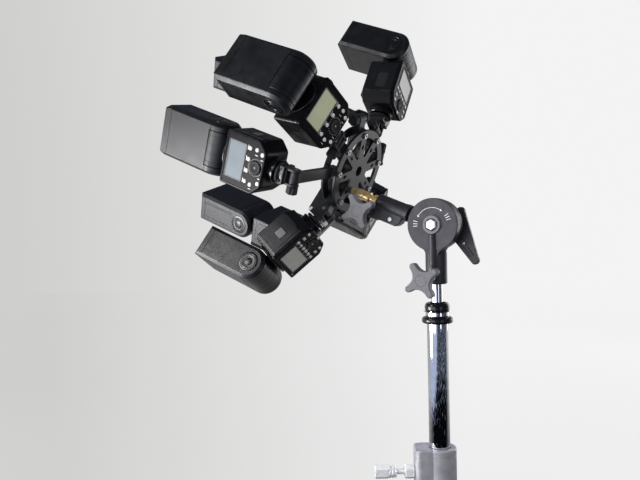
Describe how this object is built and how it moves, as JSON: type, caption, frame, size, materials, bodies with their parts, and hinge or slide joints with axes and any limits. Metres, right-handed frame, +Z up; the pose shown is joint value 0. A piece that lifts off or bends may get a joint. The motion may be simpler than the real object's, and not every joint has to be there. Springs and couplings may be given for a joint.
{
  "type": "camera flash bracket",
  "caption": "Wheel-shaped bracket carrying hot-shoe flash units on hinged arms, on a tilt head with star knobs and the clamped column of a light stand.",
  "frame": {"origin": "on the column axis at the lower end of the stand casting", "axes": "+Z up the column, +Y away from the viewer, +X to the viewer's right"},
  "size_m": [0.4615, 0.4537, 0.7238],
  "materials": {
    "bare_aluminium": "satin cast",
    "chrome": "polished",
    "collar_black": "satin",
    "cast_black": "satin black paint",
    "knob_grey": "fine grain",
    "brass": "polished",
    "plate_grey": "satin black coating",
    "flash_black": "fine grain"
  },
  "bodies": {
    "stand": {"stand_casting": "bare_aluminium"},
    "clamp_screw": {"casting_screw": "chrome"},
    "column": {"stand_column": "chrome", "column_collar": "collar_black", "stand_stud": "chrome"},
    "swivel": {"swivel_body": "cast_black", "tilt_bolt": "chrome"},
    "stud_knob": {"stud_knob": "knob_grey"},
    "lock_lever": {"lock_lever": "cast_black"},
    "tilt": {"tilt_arm": "cast_black"},
    "spigot_knob": {"spigot_knob": "knob_grey"},
    "wheel": {"brass_spigot": "brass", "hub_rear_plate": "plate_grey", "hub_front_plate": "plate_grey", "hub_core": "plate_grey", "arm_1": "plate_grey", "arm_2": "plate_grey", "arm_3": "plate_grey", "arm_4": "plate_grey", "arm_5": "plate_grey", "arm_6": "plate_grey", "arm_7": "plate_grey", "arm_8": "plate_grey"},
    "knuckle_1": {"knuckle_1": "plate_grey", "flash_1_body": "flash_black"},
    "knuckle_knob_1": {"knuckle_knob_1": "flash_black"},
    "flash_1_neck": {"flash_1_neck": "flash_black"},
    "flash_1_head": {"flash_1_head": "flash_black"},
    "knuckle_2": {"knuckle_2": "plate_grey", "flash_2_body": "flash_black"},
    "knuckle_knob_2": {"knuckle_knob_2": "flash_black"},
    "flash_2_neck": {"flash_2_neck": "flash_black"},
    "flash_2_head": {"flash_2_head": "flash_black"},
    "knuckle_3": {"knuckle_3": "plate_grey", "flash_3_body": "flash_black"},
    "knuckle_knob_3": {"knuckle_knob_3": "flash_black"},
    "flash_3_neck": {"flash_3_neck": "flash_black"},
    "flash_3_head": {"flash_3_head": "flash_black"},
    "knuckle_4": {"knuckle_4": "plate_grey", "flash_4_body": "flash_black"},
    "knuckle_knob_4": {"knuckle_knob_4": "flash_black"},
    "flash_4_neck": {"flash_4_neck": "flash_black"},
    "flash_4_head": {"flash_4_head": "flash_black"},
    "knuckle_5": {"knuckle_5": "plate_grey", "flash_5_body": "flash_black"},
    "knuckle_knob_5": {"knuckle_knob_5": "flash_black"},
    "flash_5_neck": {"flash_5_neck": "flash_black"},
    "flash_5_head": {"flash_5_head": "flash_black"},
    "knuckle_6": {"knuckle_6": "plate_grey", "flash_6_body": "flash_black"},
    "knuckle_knob_6": {"knuckle_knob_6": "flash_black"},
    "flash_6_neck": {"flash_6_neck": "flash_black"},
    "flash_6_head": {"flash_6_head": "flash_black"},
    "knuckle_7": {"knuckle_7": "plate_grey"},
    "knuckle_knob_7": {"knuckle_knob_7": "flash_black"},
    "knuckle_8": {"knuckle_8": "plate_grey", "flash_8_body": "flash_black"},
    "knuckle_knob_8": {"knuckle_knob_8": "flash_black"},
    "flash_8_neck": {"flash_8_neck": "flash_black"},
    "flash_8_head": {"flash_8_head": "flash_black"}
  },
  "joints": [
    {"name": "clamp_screw_turn", "type": "hinge", "parent": "stand", "child": "clamp_screw", "pos_m": [-0.05, 0, 0.035], "axis": [1, 0, 0], "continuous": true},
    {"name": "column_slide", "type": "slide", "parent": "stand", "child": "column", "axis": [0, 0, 1], "range_m": [-0.15, 0.03]},
    {"name": "swivel_turn", "type": "hinge", "parent": "column", "child": "swivel", "pos_m": [0, 0, 0.32], "axis": [0, 0, 1], "continuous": true},
    {"name": "stud_knob_turn", "type": "hinge", "parent": "swivel", "child": "stud_knob", "pos_m": [0, 0, 0.313], "axis": [-0.5, -0.866, 0], "continuous": true},
    {"name": "lock_lever_swing", "type": "hinge", "parent": "swivel", "child": "lock_lever", "pos_m": [0, 0, 0.388], "axis": [-0.5, -0.866, 0], "range_deg": [-45, 45]},
    {"name": "tilt_hinge", "type": "hinge", "parent": "swivel", "child": "tilt", "pos_m": [0, 0, 0.388], "axis": [-0.5, -0.866, 0], "range_deg": [-68, 32]},
    {"name": "spigot_knob_turn", "type": "hinge", "parent": "tilt", "child": "spigot_knob", "pos_m": [-0.09031, 0.05214, 0.41018], "axis": [-0.5, -0.866, 0], "continuous": true},
    {"name": "wheel_turn", "type": "hinge", "parent": "tilt", "child": "wheel", "pos_m": [-0.0803, 0.04636, 0.42546], "axis": [-0.803, 0.4636, 0.3746], "continuous": true},
    {"name": "knuckle_1_hinge", "type": "hinge", "parent": "wheel", "child": "knuckle_1", "pos_m": [-0.10128, 0.03146, 0.54574], "axis": [-0.573, -0.7734, -0.2711], "range_deg": [-10, 10]},
    {"name": "knuckle_knob_1_turn", "type": "hinge", "parent": "knuckle_1", "child": "knuckle_knob_1", "pos_m": [-0.10128, 0.03146, 0.54574], "axis": [-0.573, -0.7734, -0.2711], "continuous": true},
    {"name": "flash_1_neck_turn", "type": "hinge", "parent": "knuckle_1", "child": "flash_1_neck", "pos_m": [-0.21545, 0.09603, 0.60286], "axis": [-0.803, 0.4636, 0.3746], "range_deg": [-180, 180]},
    {"name": "flash_1_head_tilt", "type": "hinge", "parent": "flash_1_neck", "child": "flash_1_head", "pos_m": [-0.23729, 0.10864, 0.61304], "axis": [-0.573, -0.7734, -0.2711], "range_deg": [0, 90]},
    {"name": "knuckle_2_hinge", "type": "hinge", "parent": "wheel", "child": "knuckle_2", "pos_m": [-0.13522, 0.00466, 0.50615], "axis": [-0.5212, -0.2412, -0.8187], "range_deg": [-10, 10]},
    {"name": "knuckle_knob_2_turn", "type": "hinge", "parent": "knuckle_2", "child": "knuckle_knob_2", "pos_m": [-0.13522, 0.00466, 0.50615], "axis": [-0.5212, -0.2412, -0.8187], "continuous": true},
    {"name": "flash_2_neck_turn", "type": "hinge", "parent": "knuckle_2", "child": "flash_2_neck", "pos_m": [-0.18603, -0.07185, 0.56104], "axis": [-0.4748, -0.7151, 0.513], "range_deg": [-180, 180]},
    {"name": "flash_2_head_tilt", "type": "hinge", "parent": "flash_2_neck", "child": "flash_2_head", "pos_m": [-0.19895, -0.0913, 0.57499], "axis": [-0.5212, -0.2412, -0.8187], "range_deg": [-76, 14]},
    {"name": "knuckle_3_hinge", "type": "hinge", "parent": "wheel", "child": "knuckle_3", "pos_m": [-0.19545, -0.05868, 0.45545], "axis": [-0.2517, 0.306, -0.9182], "range_deg": [-10, 10]},
    {"name": "knuckle_knob_3_turn", "type": "hinge", "parent": "knuckle_3", "child": "knuckle_knob_3", "pos_m": [-0.19545, -0.05868, 0.45545], "axis": [-0.2517, 0.306, -0.9182], "continuous": true},
    {"name": "flash_3_neck_turn", "type": "hinge", "parent": "knuckle_3", "child": "flash_3_neck", "pos_m": [-0.28136, -0.00907, 0.49553], "axis": [-0.803, 0.4636, 0.3746], "range_deg": [-180, 180]},
    {"name": "flash_3_head_tilt", "type": "hinge", "parent": "flash_3_neck", "child": "flash_3_head", "pos_m": [-0.3032, 0.00353, 0.50572], "axis": [-0.2517, 0.306, -0.9182], "range_deg": [0, 90]},
    {"name": "knuckle_4_hinge", "type": "hinge", "parent": "wheel", "child": "knuckle_4", "pos_m": [-0.15505, 0.04724, 0.41095], "axis": [0.2892, 0.8526, -0.4353], "range_deg": [-10, 10]},
    {"name": "knuckle_knob_4_turn", "type": "hinge", "parent": "knuckle_4", "child": "knuckle_knob_4", "pos_m": [-0.15505, 0.04724, 0.41095], "axis": [0.2892, 0.8526, -0.4353], "continuous": true},
    {"name": "flash_4_neck_turn", "type": "hinge", "parent": "knuckle_4", "child": "flash_4_neck", "pos_m": [-0.23684, 0.03995, 0.34235], "axis": [-0.7644, -0.0681, -0.6412], "range_deg": [-180, 180]},
    {"name": "flash_4_head_tilt", "type": "hinge", "parent": "flash_4_neck", "child": "flash_4_head", "pos_m": [-0.25763, 0.0381, 0.32491], "axis": [0.2892, 0.8526, -0.4353], "range_deg": [-70, 20]},
    {"name": "knuckle_5_hinge", "type": "hinge", "parent": "wheel", "child": "knuckle_5", "pos_m": [-0.12753, 0.10064, 0.40387], "axis": [0.573, 0.7734, 0.2711], "range_deg": [-10, 10]},
    {"name": "knuckle_knob_5_turn", "type": "hinge", "parent": "knuckle_5", "child": "knuckle_knob_5", "pos_m": [-0.12753, 0.10064, 0.40387], "axis": [0.573, 0.7734, 0.2711], "continuous": true},
    {"name": "flash_5_neck_turn", "type": "hinge", "parent": "knuckle_5", "child": "flash_5_neck", "pos_m": [-0.26285, 0.20442, 0.3938], "axis": [-0.803, 0.4636, 0.3746], "range_deg": [-180, 180]},
    {"name": "flash_5_head_tilt", "type": "hinge", "parent": "flash_5_neck", "child": "flash_5_head", "pos_m": [-0.28469, 0.21703, 0.40399], "axis": [0.573, 0.7734, 0.2711], "range_deg": [0, 90]},
    {"name": "knuckle_6_hinge", "type": "hinge", "parent": "wheel", "child": "knuckle_6", "pos_m": [-0.09358, 0.12744, 0.44347], "axis": [0.5212, 0.2412, 0.8187], "range_deg": [-10, 10]},
    {"name": "knuckle_knob_6_turn", "type": "hinge", "parent": "knuckle_6", "child": "knuckle_knob_6", "pos_m": [-0.09358, 0.12744, 0.44347], "axis": [0.5212, 0.2412, 0.8187], "continuous": true},
    {"name": "flash_6_neck_turn", "type": "hinge", "parent": "knuckle_6", "child": "flash_6_neck", "pos_m": [-0.09071, 0.22953, 0.41156], "axis": [0.0269, 0.9541, -0.2982], "range_deg": [-180, 180]},
    {"name": "flash_6_head_tilt", "type": "hinge", "parent": "flash_6_neck", "child": "flash_6_head", "pos_m": [-0.08997, 0.25548, 0.40344], "axis": [0.5212, 0.2412, 0.8187], "range_deg": [-72, 18]},
    {"name": "knuckle_7_hinge", "type": "hinge", "parent": "wheel", "child": "knuckle_7", "pos_m": [-0.06856, 0.12792, 0.49649], "axis": [0.1641, -0.4323, 0.8867], "range_deg": [-10, 10]},
    {"name": "knuckle_knob_7_turn", "type": "hinge", "parent": "knuckle_7", "child": "knuckle_knob_7", "pos_m": [-0.06856, 0.12792, 0.49649], "axis": [0.1641, -0.4323, 0.8867], "continuous": true},
    {"name": "knuckle_8_hinge", "type": "hinge", "parent": "wheel", "child": "knuckle_8", "pos_m": [-0.07688, 0.08342, 0.53375], "axis": [-0.2892, -0.8526, 0.4353], "range_deg": [-10, 10]},
    {"name": "knuckle_knob_8_turn", "type": "hinge", "parent": "knuckle_8", "child": "knuckle_knob_8", "pos_m": [-0.07688, 0.08342, 0.53375], "axis": [-0.2892, -0.8526, 0.4353], "continuous": true},
    {"name": "flash_8_neck_turn", "type": "hinge", "parent": "knuckle_8", "child": "flash_8_neck", "pos_m": [-0.04355, 0.12046, 0.62844], "axis": [0.3114, 0.3462, 0.885], "range_deg": [-180, 180]},
    {"name": "flash_8_head_tilt", "type": "hinge", "parent": "flash_8_neck", "child": "flash_8_head", "pos_m": [-0.03508, 0.12987, 0.65251], "axis": [-0.2892, -0.8526, 0.4353], "range_deg": [-76, 14]}
  ]
}
